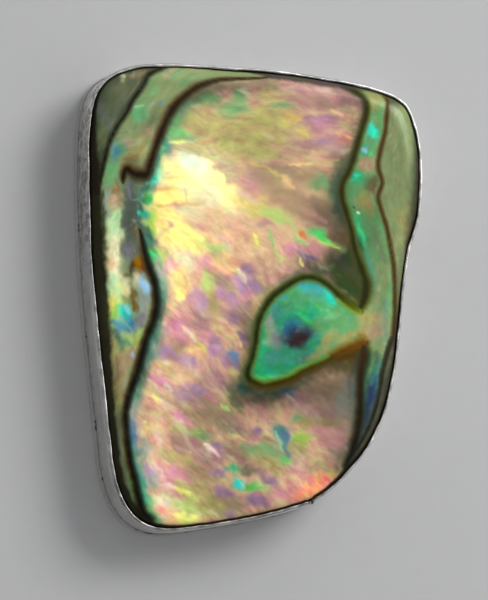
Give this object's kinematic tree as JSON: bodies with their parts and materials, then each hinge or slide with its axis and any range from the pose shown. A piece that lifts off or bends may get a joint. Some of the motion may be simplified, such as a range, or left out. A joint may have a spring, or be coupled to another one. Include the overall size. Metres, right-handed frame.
{
  "type": "bezel-set abalone shell cabochon",
  "caption": "Low-domed free-form slab of polished abalone shell, held by a thin silver bezel wall on a flat silver back plate.",
  "frame": {"origin": "middle of the back plate's underside, in the middle of the object's box seen from above", "axes": "+Z out of the polished face of the shell, the object's thickness; +Y along its length, towards the wide end"},
  "size_m": [0.0266, 0.0358, 0.0054],
  "materials": {
    "abalone_nacre": "polished",
    "fine_silver": "satin",
    "silver_sheet": "satin"
  },
  "bodies": {
    "root": {"abalone_cabochon": "abalone_nacre", "bezel_wall": "fine_silver", "back_plate": "silver_sheet"}
  },
  "joints": []
}
